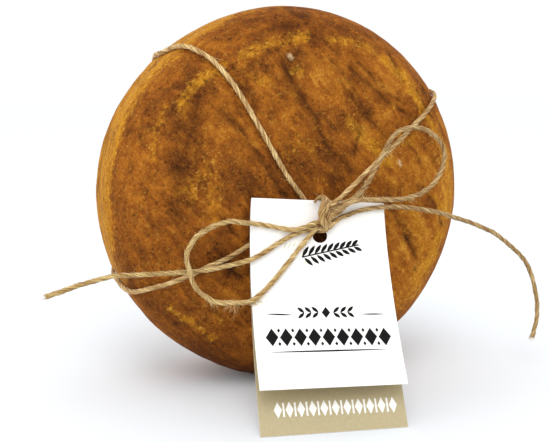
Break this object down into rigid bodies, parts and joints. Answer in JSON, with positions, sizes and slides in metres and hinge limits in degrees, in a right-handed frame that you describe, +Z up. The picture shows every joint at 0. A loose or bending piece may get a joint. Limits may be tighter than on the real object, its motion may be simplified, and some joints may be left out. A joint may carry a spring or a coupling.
{
  "type": "provolone cheese",
  "caption": "Round wheel of provolone standing on its rim, tied crosswise with jute twine and a bow that holds a folded card tag.",
  "frame": {"origin": "middle of the small flat spot on the rim on which the wheel stands", "axes": "+Z up; +Y along the wheel's axis toward its back face, so the front face with the bow and tag looks toward -Y; +X to the right as the front face is seen"},
  "size_m": [0.3123, 0.1788, 0.2287],
  "materials": {
    "rind": "oiled golden-brown cheese rind, mottled, semi-gloss",
    "twine": "natural jute twine, matt and hairy",
    "card": "smooth uncoated white card with a beige lower strip"
  },
  "bodies": {
    "root": {"cheese_wheel": "rind", "twine_wrap_first": "twine", "twine_wrap_second": "twine", "twine_knot": "twine", "bow_loop_left": "twine", "bow_loop_right": "twine", "bow_tail_left": "twine", "bow_tail_right": "twine", "hang_tag": "card"}
  },
  "joints": []
}
